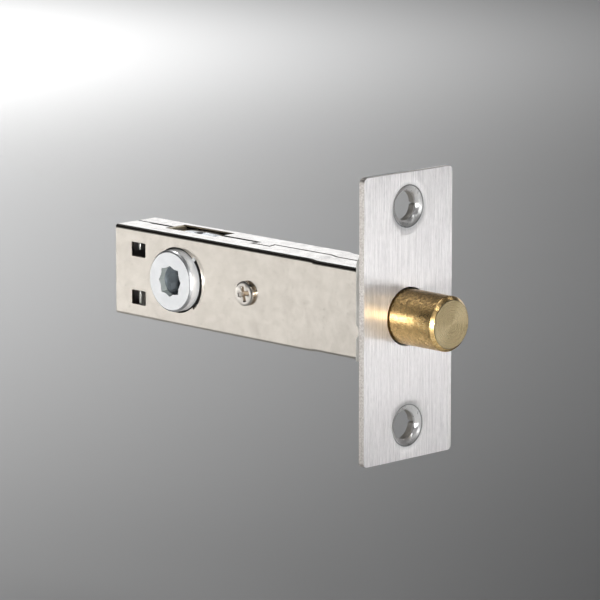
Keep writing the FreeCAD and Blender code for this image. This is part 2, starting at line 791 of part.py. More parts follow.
# Tail plate: guided on the post, framed round the hub, with a notch for the crank pin

tail = new_body("bolt_tail")
tail_front = -cell("bolt_slot_front") - cell("tail_slot_gap")
tongue = cell("tail_tongue_half")
shoulder = -cell("tail_shoulder")
shoulder_end = shoulder - cell("tail_shoulder_slope")
edge = cell("tail_half_height")
jaw = cell("tail_jaw_depth")
jaw_rear = crank_x - cell("tail_notch_half") - cell("tail_jaw_half")
jaw_front = crank_x + cell("tail_notch_half") + cell("tail_jaw_half")
jaw_slope = jaw - edge
prism(tail, "plate", "XZ", -tail_half, tail_half,
      [[(tail_front, -tongue), (tail_front, tongue), (shoulder, tongue),
        (shoulder_end, edge), (-cell("tail_rear"), edge), (-cell("tail_rear"), -edge),
        (jaw_rear - jaw_slope, -edge), (jaw_rear, -jaw), (jaw_front, -jaw),
        (jaw_front + jaw_slope, -edge), (shoulder_end, -edge), (shoulder, -tongue)]])
window = cell("tail_window_half")
prism(tail, "hub_window", "XZ", -tail_half - past, tail_half + past,
      [box_loop(-cell("tail_window_rear"), -cell("tail_window_front"), -window, window)], cut=True)
prism(tail, "crank_notch", "XZ", -tail_half - past, tail_half + past,
      [box_loop(crank_x - cell("tail_notch_half"), crank_x + cell("tail_notch_half"),
                -jaw - past, -window + past)], cut=True)
guide = cell("post_radius") + cell("tail_guide_gap")
prism(tail, "guide_slot", "XZ", -tail_half - past, tail_half + past,
      [box_loop(post_x - guide, post_x + throw + guide, -guide, guide)], cut=True)
dress(tail, "Fillet", "guide_slot_ends", guide - cell("tail_guide_flat"),
      [(end, ZERO, guide * side) for end in (post_x - guide, post_x + throw + guide)
       for side in (1, -1)])
prism(tail, "pin_holes", "XZ", -tail_half - past, tail_half + past, pin_loops, cut=True)

pins = []
for side, label in ((1, "upper"), (-1, "lower")):
    pins.append(rod(label + "_tail_pin", cell("pin_radius"), cell("pin_half_length") * 2,
                    -cell("pin_back"), -cell("pin_half_length"), cell("pin_height") * side, "Y"))
tail_pins = doc.addObject("Part::Compound", "tail_pins")
tail_pins.Label = "tail_pins"
tail_pins.Links = pins
doc.recompute()


# Hub, two halves that clasp the tail plate

flange = cell("hub_flange_radius")
face = cell("hub_face")
cam_outer = shell_inside - cell("hub_wall_gap")
cam_inner = cell("cam_inner")
star_tip = cell("spindle") / 2 / cosine(eighth_turn)
star_waist = cell("spindle") / 2 / cosine(eighth_turn / 2)
cam_crank = (cell("crank_radius") * cosine(cell("turn_half")), crank_z)
crank_hole = cell("crank_pin_radius") + cell("pin_gap")


def add_cam(body, low, high):
    """The cam disc with the two flats that the spring sits on."""
    prism(body, "cam", "XZ", low, high, [("circle", ZERO, ZERO, cell("cam_radius"))])
    flat = cell("cam_flat")
    wide = cell("cam_radius") + past
    prism(body, "upper_flat", "XZ", low, high, [box_loop(-wide, wide, flat, wide)], cut=True)
    prism(body, "rear_flat", "XZ", low, high, [box_loop(-wide, -flat, -wide, wide)], cut=True)


def add_stop(body, low, high):
    """The lug that meets the ends of the shell's notch."""
    start = cell("stop_from")
    end = cell("stop_to")
    root = flange - root_depth
    tip = cell("stop_radius")
    prism(body, "stop_lug", "XZ", low, high,
          [[(root * cosine(start), root * sine(start)), (tip * cosine(start), tip * sine(start)),
            (tip * cosine(end), tip * sine(end)), (root * cosine(end), root * sine(end))]])


def add_bores(body):
    prism(body, "star_hole", "XZ", -face - past, face + past, [star(star_tip, star_waist)],
          cut=True)
    prism(body, "crank_hole", "XZ", -cam_outer - past, cam_outer + past,
          [("circle", cam_crank[0], cam_crank[1], crank_hole)], cut=True)


def barrel_loop(gap):
    """The barrel's end, a many-sided disc with an upper and a lower flat."""
    radius = cell("barrel_radius") + gap
    turns = [as_size(start + step) for start in (0, 180) for step in range(-60, 61, 12)]
    return [(radius * cosine(turn), radius * sine(turn)) for turn in turns]


hub_near = new_body("hub_near_half", hub_x, ZERO, ZERO)
prism(hub_near, "flange", "XZ", -face, -cam_outer, [("circle", ZERO, ZERO, flange)])
add_cam(hub_near, -cam_outer, -cam_inner)
prism(hub_near, "barrel", "XZ", -cam_inner, cam_inner,
      [("circle", ZERO, ZERO, cell("barrel_radius"))])
prism(hub_near, "spigot", "XZ", cam_inner, cell("barrel_spigot"), [barrel_loop(ZERO)])
add_stop(hub_near, -shell_side, -cam_outer)
add_bores(hub_near)
dress(hub_near, "Chamfer", "face_bevel", cell("hub_bevel"), [(ZERO, -face, flange)])

hub_far = new_body("hub_far_half", hub_x, ZERO, ZERO)
socket_gap = cell("socket_gap")
prism(hub_far, "flange", "XZ", cam_outer, face, [("circle", ZERO, ZERO, flange)])
add_cam(hub_far, cam_inner + socket_gap, cam_outer)
prism(hub_far, "socket", "XZ", ZERO, cell("barrel_spigot") + socket_gap,
      [barrel_loop(socket_gap)], cut=True)
add_stop(hub_far, cam_outer, shell_side)
add_bores(hub_far)
dress(hub_far, "Chamfer", "face_bevel", cell("hub_bevel"), [(ZERO, face, flange)])

drive_pin = rod("drive_pin", cell("crank_pin_radius"), cell("crank_pin_half") * 2,
                crank_x, -cell("crank_pin_half"), crank_z, "Y")


# Leaf spring over the hub's flats

spring = new_body("detent_spring")
leaf_low = cell("cam_flat") + cell("leaf_gap")
leaf_thick = cell("leaf_thick")
leaf_end = leaf_low + cell("leaf_bow")
leaf_rear = -cell("slot_rear") - cell("leaf_under")
leaf_front = -cell("slot_front") + cell("leaf_under")
inset = cell("leaf_bend_inset")
prism(spring, "leaf", "XZ", -cell("leaf_near"), cell("leaf_far"),
      [[(leaf_rear, leaf_end), (leaf_rear + inset, leaf_low), (leaf_front - inset, leaf_low),
        (leaf_front, leaf_end), (leaf_front, leaf_end + leaf_thick),
        (leaf_front - inset, leaf_low + leaf_thick), (leaf_rear + inset, leaf_low + leaf_thick),
        (leaf_rear, leaf_end + leaf_thick)]])
dimple_low = leaf_low + leaf_thick
prism(spring, "dimple", "XY", leaf_low, dimple_low + cell("dimple_height"),
      [("circle", -cell("dimple_back"), cell("dimple_side"), cell("dimple_radius"))])
dress(spring, "Chamfer", "dimple_bevel", cell("dimple_bevel"),
      [(-cell("dimple_back"), cell("dimple_side") + cell("dimple_radius"),
        dimple_low + cell("dimple_height"))])


# Check and write every piece

pieces = [faceplate, inner_forend, collar, forend_rivets, near_shell, far_shell, bracket, screw,
          post, bolt, tail, tail_pins, hub_near, hub_far, drive_pin, spring]
doc.recompute()
for item in doc.Objects:
    if "Invalid" in item.State or "Error" in item.State:
        raise RuntimeError("%s has the state %s" % (item.Label, item.State))
os.makedirs("parts", exist_ok=True)
for piece in pieces:
    shape = piece.Shape
    if shape.isNull() or not shape.isValid():
        raise RuntimeError(piece.Label + " has no valid shape")
    print("%-16s %2d solid %9.2f mm3" % (piece.Label, len(shape.Solids), shape.Volume))
    shape.exportStep(os.path.join("parts", piece.Label + ".step"))
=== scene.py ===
import json
import math

import bmesh
import bpy
from mathutils import Matrix, Vector


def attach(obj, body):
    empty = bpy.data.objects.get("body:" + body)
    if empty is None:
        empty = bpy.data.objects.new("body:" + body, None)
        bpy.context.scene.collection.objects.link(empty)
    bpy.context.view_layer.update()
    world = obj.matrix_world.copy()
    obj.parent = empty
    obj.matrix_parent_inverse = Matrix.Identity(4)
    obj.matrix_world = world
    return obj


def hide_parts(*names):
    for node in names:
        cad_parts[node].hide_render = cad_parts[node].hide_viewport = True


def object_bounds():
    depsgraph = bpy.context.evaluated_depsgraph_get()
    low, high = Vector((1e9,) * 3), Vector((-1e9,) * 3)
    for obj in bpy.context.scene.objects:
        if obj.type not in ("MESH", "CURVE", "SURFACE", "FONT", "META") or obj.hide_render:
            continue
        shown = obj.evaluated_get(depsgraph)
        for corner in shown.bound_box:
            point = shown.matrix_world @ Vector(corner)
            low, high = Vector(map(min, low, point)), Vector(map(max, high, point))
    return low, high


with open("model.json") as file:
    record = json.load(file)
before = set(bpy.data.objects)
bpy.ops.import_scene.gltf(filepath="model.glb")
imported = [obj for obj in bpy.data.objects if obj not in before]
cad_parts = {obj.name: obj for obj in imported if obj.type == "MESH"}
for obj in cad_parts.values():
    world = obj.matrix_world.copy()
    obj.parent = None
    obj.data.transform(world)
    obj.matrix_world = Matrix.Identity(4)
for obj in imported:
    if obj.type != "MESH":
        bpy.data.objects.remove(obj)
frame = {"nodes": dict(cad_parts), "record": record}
cad_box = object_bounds()
nodes = frame["nodes"]
node_slots = {part["node"]: part["material_slot"] for part in frame["record"]["subparts"]}


# Measures that pieces and finishes share, in millimetres; MM makes them metres

MM = 0.001
PLATE_BACK = -1.35
PLATE_HALF_WIDTH, PLATE_HALF_HEIGHT = 12.25, 28.5
SCREW_HOLE_HEIGHT = 21.8
BORE_RADIUS = 5.86
BOLT_TIP = 11.7
CASE_TOP_REAR, CASE_TOP_FRONT = 9.35, 9.13
CASE_STEP_X = -20.8
CASE_INSIDE = (5.12, 8.7)
SHELTER_FRONT = -1.5
HUB_X = -60.0
FLANGE_FACE, FLANGE_ROOT = -7.83, -5.15
MOUTH_DEPTH = 1.35
SCREW_X = -39.6
HEAD_SEAT, HEAD_TOP = -5.80, -6.65
HEAD_GROOVE = -6.12
SCREW_TURN = math.radians(-13.5)
BEAD_X, BEAD_Y = -60.4, 1.0


# Camera, at the photograph's viewing angle

SENSOR = 36.0
CAMERA_LENS = 268.7
CAMERA_AZIMUTH = math.radians(45.52)
CAMERA_ELEVATION = math.radians(10.78)
CAMERA_DISTANCE = 874.6 * MM
CAMERA_TO_THE_RIGHT = -21.12 * MM
CAMERA_UPWARD = 3.18 * MM
NEAREST_SEEN, FARTHEST_SEEN = 10 * MM, 20.0


def place_camera():
    """The camera looks at the faceplate's front and the near shell, from a little above."""
    sine, cosine = math.sin(CAMERA_AZIMUTH), math.cos(CAMERA_AZIMUTH)
    rise, level = math.sin(CAMERA_ELEVATION), math.cos(CAMERA_ELEVATION)
    right = Vector((cosine, sine, 0.0))
    back = Vector((sine * level, -cosine * level, rise))
    up = back.cross(right)
    data = bpy.data.cameras.new("camera")
    data.sensor_width = SENSOR
    data.lens = CAMERA_LENS
    data.clip_start = NEAREST_SEEN
    data.clip_end = FARTHEST_SEEN
    camera = bpy.data.objects.new("camera", data)
    bpy.context.scene.collection.objects.link(camera)
    place = back * CAMERA_DISTANCE + right * CAMERA_TO_THE_RIGHT + up * CAMERA_UPWARD
    turn = Matrix((right, up, back)).transposed()
    camera.matrix_world = Matrix.Translation(place) @ turn.to_4x4()
    bpy.context.scene.camera = camera


# Working on a piece by hand

def only(piece):
    """Select one piece alone and make it the active one."""
    bpy.ops.object.select_all(action="DESELECT")
    piece.select_set(True)
    bpy.context.view_layer.objects.active = piece


def open_edit(piece, kind="FACE", start="DESELECT"):
    """Enter edit mode on a piece, with nothing selected or, with START as SELECT, all of it."""
    only(piece)
    bpy.ops.object.mode_set(mode="EDIT")
    bpy.ops.mesh.select_mode(type=kind)
    bpy.ops.mesh.select_all(action=start)


def close_edit():
    """Go back to object mode."""
    bpy.ops.object.mode_set(mode="OBJECT")


def pick(piece, kind, wanted):
    """Select the faces, edges or verts of a piece in edit mode that pass WANTED, and no others."""
    mesh = bmesh.from_edit_mesh(piece.data)
    for item in getattr(mesh, kind):
        item.select_set(wanted(item))
    bmesh.update_edit_mesh(piece.data)


def pick_faces(piece, wanted):
    """Select the faces whose normal passes WANTED."""
    pick(piece, "faces", lambda face: wanted(face.normal))


def pick_edges(piece, wanted):
    """Select the edges whose two ends pass WANTED."""
    pick(piece, "edges", lambda edge: wanted(edge.verts[0].co, edge.verts[1].co))


def extrude(step):
    """Draw the selected faces out by a step in metres."""
    bpy.ops.mesh.extrude_region_move(TRANSFORM_OT_translate={"value": step})


def resize(shares, centre):
    """Scale what is selected along X, Y and Z, about a centre in metres."""
    bpy.ops.transform.resize(value=shares, center_override=centre)


def turn_outwards(piece):
    """Make all faces of a piece point outwards."""
    open_edit(piece, start="SELECT")
    bpy.ops.mesh.normals_make_consistent(inside=False)
    close_edit()


def apply_place(piece):
    """Move a piece's place, turn and size into its mesh."""
    only(piece)
    bpy.ops.object.transform_apply(location=True, rotation=True, scale=True)


def apply_tool(piece, kind, **settings):
    """Give a piece a modifier with these settings and apply it."""
    tool = piece.modifiers.new(kind.lower(), kind)
    for word, value in settings.items():
        setattr(tool, word, value)
    only(piece)
    bpy.ops.object.modifier_apply(modifier=tool.name)


def join(piece, *others):
    """Join other pieces to one."""
    only(piece)
    for other in others:
        other.select_set(True)
    bpy.ops.object.join()


def block(name, low, high):
    """A box between two corners, given in millimetres."""
    middle = [(a + b) / 2 * MM for a, b in zip(low, high)]
    bpy.ops.object.select_all(action="DESELECT")
    bpy.ops.mesh.primitive_cube_add(size=1, location=middle)
    piece = bpy.context.object
    piece.name = name
    piece.scale = [(b - a) * MM for a, b in zip(low, high)]
    apply_place(piece)
    return piece


TURNS = {"X": (0, math.pi / 2, 0), "Y": (-math.pi / 2, 0, 0), "Z": (0, 0, 0)}
AXES = {"X": Vector((1, 0, 0)), "Y": Vector((0, 1, 0)), "Z": Vector((0, 0, 1))}


def disc(name, axis, centre, radius, sides):
    """A flat disc across AXIS, with its centre and radius in metres."""
    bpy.ops.object.select_all(action="DESELECT")
    bpy.ops.mesh.primitive_circle_add(vertices=sides, radius=radius, fill_type="NGON", location=centre,
                                      rotation=TURNS[axis])
    piece = bpy.context.object
    piece.name = name
    apply_place(piece)
    return piece


def lathe(name, axis, centre, stations, sides=96):
    """A turned piece: a disc drawn out along AXIS through stations of (place, radius) in millimetres."""
    along = AXES[axis]
    centre = Vector(centre) * MM
    place, radius = stations[0]
    piece = disc(name, axis, centre + along * place * MM, radius * MM, sides)
    open_edit(piece, start="SELECT")
    for (start, before), (end, after) in zip(stations, stations[1:]):
        extrude(along * (end - start) * MM)
        share = after / before
        resize([share if step == 0 else 1.0 for step in along], centre + along * end * MM)
    close_edit()
    turn_outwards(piece)
    return piece


def cut(piece, *cutters):
    """Take the cutters' shapes out of a piece."""
    for cutter in cutters:
        apply_tool(piece, "BOOLEAN", operation="DIFFERENCE", solver="EXACT", object=cutter)
        bpy.data.objects.remove(cutter, do_unlink=True)


def soften(piece, width, segments, angle):
    """Break the edges sharper than ANGLE by WIDTH millimetres: flat with one segment, else round."""
    apply_tool(piece, "BEVEL", width=width * MM, segments=segments, limit_method="ANGLE",
               angle_limit=math.radians(angle), use_clamp_overlap=True)


SHARP_ABOVE = math.radians(38)


def round_edges(piece, wanted, width, segments=2):
    """Round the sharp edges whose two ends pass WANTED, by WIDTH millimetres."""
    def is_wanted(edge):
        sharp = len(edge.link_faces) == 2 and edge.calc_face_angle(0.0) > SHARP_ABOVE
        return sharp and wanted(edge.verts[0].co, edge.verts[1].co)

    open_edit(piece, "EDGE")
    pick(piece, "edges", is_wanted)
    bpy.ops.mesh.bevel(offset=width * MM, segments=segments, clamp_overlap=True)
    close_edit()


MERGE = 0.0005 * MM
FLAT_BELOW = math.radians(0.1)


def copy_of(node, name):
    """A copy of a CAD node, with its loose triangles merged to whole faces."""
    piece = bpy.data.objects.new(name, nodes[node].data.copy())
    bpy.context.scene.collection.objects.link(piece)
    only(piece)
    bpy.ops.mesh.customdata_custom_splitnormals_clear()
    open_edit(piece, start="SELECT")
    bpy.ops.mesh.remove_doubles(threshold=MERGE)
    bpy.ops.mesh.dissolve_limited(angle_limit=FLAT_BELOW)
    close_edit()
    return piece


def mark_faces(piece, name, wanted):
    """Write one on the faces whose middle and normal pass WANTED, and nought on the others."""
    mark = piece.data.attributes.new(name, "FLOAT", "FACE")
    for face in piece.data.polygons:
        mark.data[face.index].value = float(wanted(face.center, face.normal))


SMOOTH_BELOW = math.radians(32)


def finish_piece(piece, body, finish, *replaced):
    """Settle a piece at the origin, give it its finish and let it stand for its CAD nodes."""
    apply_place(piece)
    bpy.ops.object.shade_smooth_by_angle(angle=SMOOTH_BELOW)
    apply_tool(piece, "WEIGHTED_NORMAL", keep_sharp=True, weight=100)
    piece.data.materials.clear()
    piece.data.materials.append(finish)
    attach(piece, body)
    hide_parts(*replaced)


# Nodes for the finishes

def connect(tree, socket, value):
    """Link a socket to another node's output, or set it to a plain value."""
    if isinstance(value, bpy.types.NodeSocket):
        tree.links.new(value, socket)
    else:
        socket.default_value = value


def fill(tree, node, **values):
    """Fill a node's sockets by their names, with _ for a space."""
    for word, value in values.items():
        connect(tree, node.inputs[word.replace("_", " ")], value)


def put(tree, kind, settings=(), **values):
    """Add a node, set its options and fill its sockets."""
    node = tree.nodes.new(kind)
    for word, value in dict(settings).items():
        setattr(node, word, value)
    fill(tree, node, **values)
    return node


def maths(tree, operation, first, second=0.0, kind="ShaderNodeMath"):
    """What a maths node makes of two values."""
    node = put(tree, kind, {"operation": operation})
    for socket, value in zip(node.inputs, (first, second)):
        connect(tree, socket, value)
    return node.outputs[0]


def product(tree, first, *others):
    """Values multiplied, or masks that all have to hold."""
    for value in others:
        first = maths(tree, "MULTIPLY", first, value)
    return first


def above(tree, value, limit):
    """One where a value is over LIMIT, and nought elsewhere."""
    return maths(tree, "GREATER_THAN", value, limit)


def below(tree, value, limit):
    """One where a value is under LIMIT, and nought elsewhere."""
    return maths(tree, "LESS_THAN", value, limit)


def either(tree, first, second):
    """The larger of two values, or a mask where one of two holds."""
    return maths(tree, "MAXIMUM", first, second)


def spread(tree, value, low, high, start=0.0, end=1.0):
    """Map a value from START..END onto LOW..HIGH."""
    return put(tree, "ShaderNodeMapRange", Value=value, From_Min=start, From_Max=end, To_Min=low,
               To_Max=high).outputs["Result"]


def noise(tree, place, scale, detail, roughness, **more):
    """A soft random pattern between nought and one."""
    return put(tree, "ShaderNodeTexNoise", Vector=place, Scale=scale, Detail=detail, Roughness=roughness,
               **more).outputs["Fac"]


def stretched(tree, place, shares):
    """A place with its three parts multiplied by SHARES."""
    return maths(tree, "MULTIPLY", place, shares, "ShaderNodeVectorMath")


def split(tree, place):
    """A place's three parts."""
    return put(tree, "ShaderNodeSeparateXYZ", Vector=place).outputs[:]


def reach_of(tree, first, second):
    """The distance from an axis, out of the two distances across it."""
    across = put(tree, "ShaderNodeCombineXYZ", X=first, Y=second)
    return put(tree, "ShaderNodeVectorMath", {"operation": "LENGTH"},
               Vector=across.outputs[0]).outputs["Value"]


def blend_colours(tree, share, first, second, strength=1.0):
    """From the first colour to the second by a share, which STRENGTH can lessen."""
    if strength < 1.0:
        share = product(tree, share, strength)
    node = put(tree, "ShaderNodeMix", {"data_type": "RGBA"}, Factor=share)
    sockets = {item.name: item for item in node.inputs if item.type == "RGBA"}
    for word, colour in (("A", first), ("B", second)):
        linked = isinstance(colour, bpy.types.NodeSocket)
        connect(tree, sockets[word], colour if linked else (*colour, 1.0))
    return [item for item in node.outputs if item.type == "RGBA"][0]


def two_tones(tree, value, low, high, first, second):
    """Blend two colours by a pattern: the first up to LOW, the second from HIGH on."""
    return blend_colours(tree, spread(tree, value, 0.0, 1.0, low, high), first, second)


def lay_over(tree, colour, *layers):
    """Lay colours over one another, each by its own share."""
    for share, tone in layers:
        colour = blend_colours(tree, share, colour, tone)
    return colour


def marked(tree, name):
    """The share that mark_faces wrote on each face under NAME."""
    return put(tree, "ShaderNodeAttribute", {"attribute_name": name}).outputs["Fac"]


# Node groups that the finishes share

def new_group(name, inputs, outputs):
    """A node group with number inputs (name, default) or a place input (name, None), and its outputs."""
    tree = bpy.data.node_groups.new(name, "ShaderNodeTree")
    for word, start in inputs:
        kind = "NodeSocketVector" if start is None else "NodeSocketFloat"
        socket = tree.interface.new_socket(word, in_out="INPUT", socket_type=kind)
        if start is not None:
            socket.default_value = start
    for word in outputs:
        tree.interface.new_socket(word, in_out="OUTPUT", socket_type="NodeSocketFloat")
    return tree, tree.nodes.new("NodeGroupInput").outputs, tree.nodes.new("NodeGroupOutput")


def build_brush_group():
    """Brush lines that run along Z: fine scratches, and broader bands of them."""
    tree, entry, leave = new_group("brush_lines", [("Vector", None), ("Across", 9000.0), ("Along", 150.0)],
                                   ["Lines", "Bands"])
    shares = put(tree, "ShaderNodeCombineXYZ", X=entry["Across"], Y=entry["Across"], Z=entry["Along"])
    fine = stretched(tree, entry["Vector"], shares.outputs[0])
    coarse = put(tree, "ShaderNodeVectorMath", {"operation": "SCALE"}, Vector=fine, Scale=0.17)
    fill(tree, leave, Lines=noise(tree, fine, 1.0, 3.0, 0.6),
         Bands=noise(tree, coarse.outputs[0], 1.0, 2.0, 0.5))
    return tree


def build_mottle_group():
    """Soft uneven patches, small dark specks and a fine grain, as on plated or handled metal."""
    tree, entry, leave = new_group("mottle", [("Vector", None), ("Patch", 180.0), ("Speck", 1400.0)],
                                   ["Patches", "Specks", "Grain"])
    place = entry["Vector"]
    specks = noise(tree, place, entry["Speck"], 2.0, 0.5)
    fill(tree, leave, Patches=noise(tree, place, entry["Patch"], 5.0, 0.55, Distortion=0.6),
         Specks=spread(tree, specks, 0.0, 1.0, 0.66, 0.78), Grain=noise(tree, place, 9000.0, 3.0, 0.65))
    return tree


def build_painted_shade_group():
    """One where a point lies inside the case or behind the plates, out of the light, and nought outside;
    painted shade goes there.
    """
    half_width, half_height = CASE_INSIDE
    tree, entry, leave = new_group("painted_shade_inside", [("Vector", None), ("Half Width", half_width),
                                              ("Half Height", half_height)], ["Inside"])
    x, y, z = split(tree, entry["Vector"])
    within = [below(tree, maths(tree, "ABSOLUTE", across), product(tree, entry[half], MM))
              for across, half in ((y, "Half Width"), (z, "Half Height"))]
    fill(tree, leave, Inside=product(tree, *within, below(tree, x, SHELTER_FRONT * MM)))
    return tree


brush_lines = build_brush_group()
mottle = build_mottle_group()
painted_shade_inside = build_painted_shade_group()


def use_group(tree, group, place, **values):
    """Place a node group at the piece's own coordinates, and give its outputs."""
    return put(tree, "ShaderNodeGroup", {"node_tree": group}, Vector=place, **values).outputs


# Finishes

def new_finish(name):
    """A new material, its nodes, its shader and the piece's own coordinates."""
    finish = bpy.data.materials.new(name)
    finish.use_nodes = True
    tree = finish.node_tree
    place = tree.nodes.new("ShaderNodeTexCoord").outputs["Object"]
    return finish, tree, tree.nodes["Principled BSDF"], place


def add_bump(tree, shader, height, strength, depth):
    """Raise the surface by a pattern, DEPTH in millimetres."""
    bump = put(tree, "ShaderNodeBump", Height=height, Strength=strength, Distance=depth * MM)
    fill(tree, shader, Normal=bump.outputs["Normal"])


def metal_finish(name, light, dark, rough, metallic=1.0, patch=180.0, speck=1400.0, bump=0.25,
                 unlit=(0.85, 0.81, 0.77), inner=CASE_INSIDE, details=None):
    """A mottled metal with painted shade, an unlit tone, within INNER, and details that give a colour and
    dull places.
    """
    finish, tree, shader, place = new_finish(name)
    marks = use_group(tree, mottle, place, Patch=patch, Speck=speck)
    depth = use_group(tree, painted_shade_inside, place, Half_Width=inner[0], Half_Height=inner[1])
    colour = two_tones(tree, marks["Patches"], 0.35, 0.68, light, dark)
    colour = blend_colours(tree, marks["Specks"], colour, [value * 0.55 for value in dark], 0.35)
    # painted shade: the unlit tone over every point inside the case and behind the plates
    colour = blend_colours(tree, depth["Inside"], colour, unlit)
    if details:
        colour, dull, dullest = details(tree, place, colour)
        metallic = spread(tree, dull, metallic, dullest)
    fill(tree, shader, Base_Color=colour, Roughness=spread(tree, marks["Patches"], *rough, 0.3, 0.7),
         Metallic=metallic)
    add_bump(tree, shader, marks["Grain"], bump, 0.01)
    return finish


# The slot's walls take painted light above this height; the painted dark reflection beside the fold starts
# this far below the top
SLOT_PAINTED_LIGHT_ABOVE = 9.02
BEND_REFLECTION_DROP = 0.74
BEND_REFLECTION_SIDE = 5.70


def painted_bend_reflection(tree, place):
    """One on the painted dark reflection along each side wall, just short of the bend."""
    x, y, z = split(tree, place)
    outer = above(tree, maths(tree, "ABSOLUTE", y), BEND_REFLECTION_SIDE * MM)
    start = spread(tree, above(tree, x, CASE_STEP_X * MM), (CASE_TOP_REAR - BEND_REFLECTION_DROP) * MM,
                   (CASE_TOP_FRONT - BEND_REFLECTION_DROP) * MM)
    return product(tree, outer, above(tree, z, start))


def shell_details(tree, place, colour):
    """The shells' sheared walls, painted shade on the seam and slot walls, painted light at the top of the
    slot walls, and the painted dark reflection beside the fold.
    """
    slot_wall, seam_wall = marked(tree, "slot_wall"), marked(tree, "seam_wall")
    slot_painted_light = above(tree, split(tree, place)[2], SLOT_PAINTED_LIGHT_ABOVE * MM)
    # painted shade: near-black seam and slot walls; painted light: the slot walls' top; painted dark
    # reflection: the line beside the fold
    colour = lay_over(tree, colour, (marked(tree, "cut_wall"), (0.32, 0.25, 0.17)),
                      (seam_wall, (0.035, 0.03, 0.025)), (slot_wall, (0.02, 0.018, 0.015)),
                      (product(tree, slot_wall, slot_painted_light), (0.46, 0.37, 0.26)),
                      (painted_bend_reflection(tree, place), (0.12, 0.11, 0.095)))
    return colour, either(tree, slot_wall, seam_wall), 0.2


# The curl lies behind and above the first two, and the bead's white, a painted highlight, above and in
# front of the others
CURL_FRONT, CURL_FOOT = -66.4, 8.75
BEAD_FOOT, BEAD_REAR = 8.92, -64
BEAD_SHADE_RING_RADIUS = 1.2


def spring_details(tree, place, colour):
    """Straw-coloured temper on the curled end, a ring of painted shade round the bead's foot and the bead
    painted white as a highlight.
    """
    x, y, z = split(tree, place)
    curled = product(tree, below(tree, x, CURL_FRONT * MM), above(tree, z, CURL_FOOT * MM))
    bead = product(tree, above(tree, z, BEAD_FOOT * MM), above(tree, x, BEAD_REAR * MM))
    reach = reach_of(tree, maths(tree, "SUBTRACT", x, BEAD_X * MM), maths(tree, "SUBTRACT", y, BEAD_Y * MM))
    bead_foot_shade = below(tree, reach, BEAD_SHADE_RING_RADIUS * MM)
    # painted shade: the dark ring round the bead's foot; painted highlight: the bead's white
    colour = lay_over(tree, colour, (curled, (0.95, 0.82, 0.58)), (bead_foot_shade, (0.07, 0.065, 0.06)),
                      (bead, (0.98, 0.98, 0.98)))
    return colour, either(tree, curled, bead), 0.3


# Reach from a screw hole's axis: the bowl's tone fades out between two, and a line of painted shade at the
# rim fills two
BOWL_FULL, BOWL_GONE = 4.2, 5.0
RIM_SHADE_INNER, RIM_SHADE_OUTER = 4.04, 4.25


def brushed_finish(name):
    """Stainless brushed along Z, duller and greyer in the bowls, with a line of painted shade round the
    bowls' rims and pitted side walls.
    """
    finish, tree, shader, place = new_finish(name)
    lines = use_group(tree, brush_lines, place, Across=17000.0, Along=700.0)
    marks = use_group(tree, mottle, place, Patch=120.0, Speck=1500.0)
    both = maths(tree, "ADD", product(tree, lines["Lines"], 0.55), product(tree, lines["Bands"], 0.45))
    y, z = split(tree, place)[1:]
    height = maths(tree, "SUBTRACT", maths(tree, "ABSOLUTE", z), SCREW_HOLE_HEIGHT * MM)
    reach = reach_of(tree, y, height)
    bowl = spread(tree, reach, 1.0, 0.0, BOWL_FULL * MM, BOWL_GONE * MM)
    rim_shade = product(tree, above(tree, reach, RIM_SHADE_INNER * MM), below(tree, reach, RIM_SHADE_OUTER * MM))
    side_wall = marked(tree, "side_wall")
    pitted = two_tones(tree, noise(tree, place, 2600.0, 2.0, 0.6), 0.35, 0.65, (1.0, 0.95, 0.90),
                       (0.74, 0.68, 0.63))
    colour = two_tones(tree, both, 0.37, 0.60, (0.70, 0.68, 0.675), (1.0, 0.972, 0.97))
    colour = blend_colours(tree, marks["Specks"], colour, (0.40, 0.39, 0.38), 0.15)
    colour = blend_colours(tree, bowl, colour, (0.62, 0.62, 0.61), 0.7)
    # painted shade: a dark ring at the step in each bowl
    colour = blend_colours(tree, rim_shade, colour, (0.10, 0.10, 0.10), 0.75)
    rough = spread(tree, lines["Bands"], 0.36, 0.42, 0.3, 0.7)
    dull = either(tree, product(tree, bowl, 0.45), product(tree, side_wall, 0.15))
    fill(tree, shader, Base_Color=blend_colours(tree, side_wall, colour, pitted),
         Roughness=maths(tree, "SUBTRACT", rough, product(tree, bowl, 0.09)),
         Metallic=spread(tree, dull, 1.0, 0.4), Anisotropic=0.85)
    add_bump(tree, shader, product(tree, lines["Lines"], spread(tree, bowl, 1.0, 0.08)), 1.0, 0.007)
    return finish


# The tip's face lies past the first, and brown handling marks, laid on more heavily toward the top as
# painted shade, grow between the two heights over the axis
TIP_FACE = BOLT_TIP - 0.1
STAIN_SHADE_START, STAIN_SHADE_END = 0.3, 4.5


